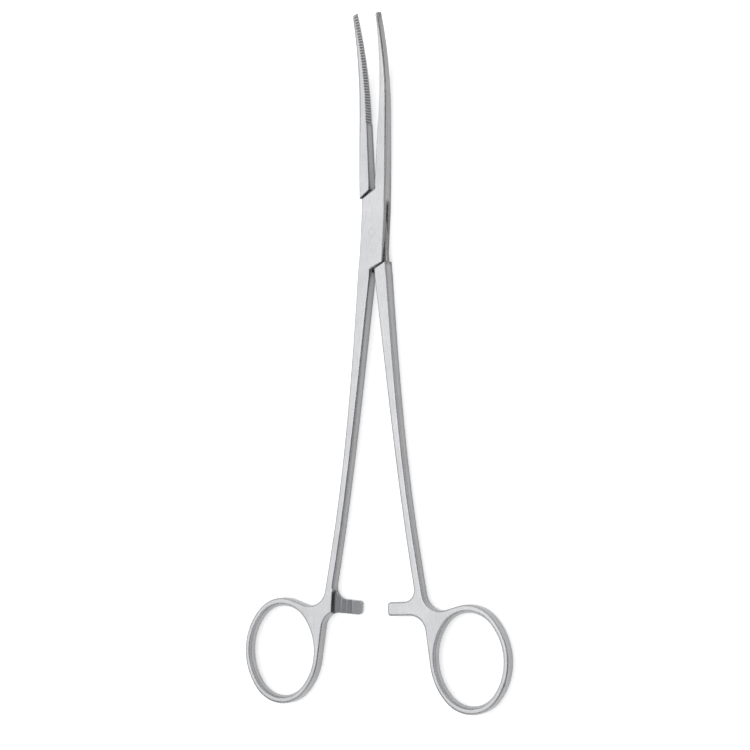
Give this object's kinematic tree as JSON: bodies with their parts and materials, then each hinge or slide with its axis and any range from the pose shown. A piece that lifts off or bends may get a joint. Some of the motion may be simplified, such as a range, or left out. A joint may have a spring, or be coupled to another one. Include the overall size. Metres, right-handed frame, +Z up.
{
  "type": "dissecting forceps",
  "caption": "Long ring-handled dissecting forceps with a box lock, a ratchet catch and gently curved jaws with cross serrations.",
  "frame": {"origin": "on the pivot axis, at the back face of the box lock, on which the instrument lies", "axes": "+Y along the instrument towards the jaw tips, +Z up out of the front of the lock, the way the jaws curve, +X to the right seen from the front"},
  "size_m": [0.0978, 0.2289, 0.0095],
  "materials": {
    "satin_steel": "satin, fine matt grain with polished edges",
    "pin_steel": "ground flush with the cheeks and satin finished"
  },
  "bodies": {
    "box_half": {"box_member": "satin_steel", "pivot_pin": "pin_steel"},
    "tongue_half": {"tongue_member": "satin_steel"}
  },
  "joints": [
    {"name": "box_lock", "type": "hinge", "parent": "box_half", "child": "tongue_half", "pos_m": [0, 0, 0], "axis": [0, 0, 1], "range_deg": [-6.1, 33.9]}
  ]
}
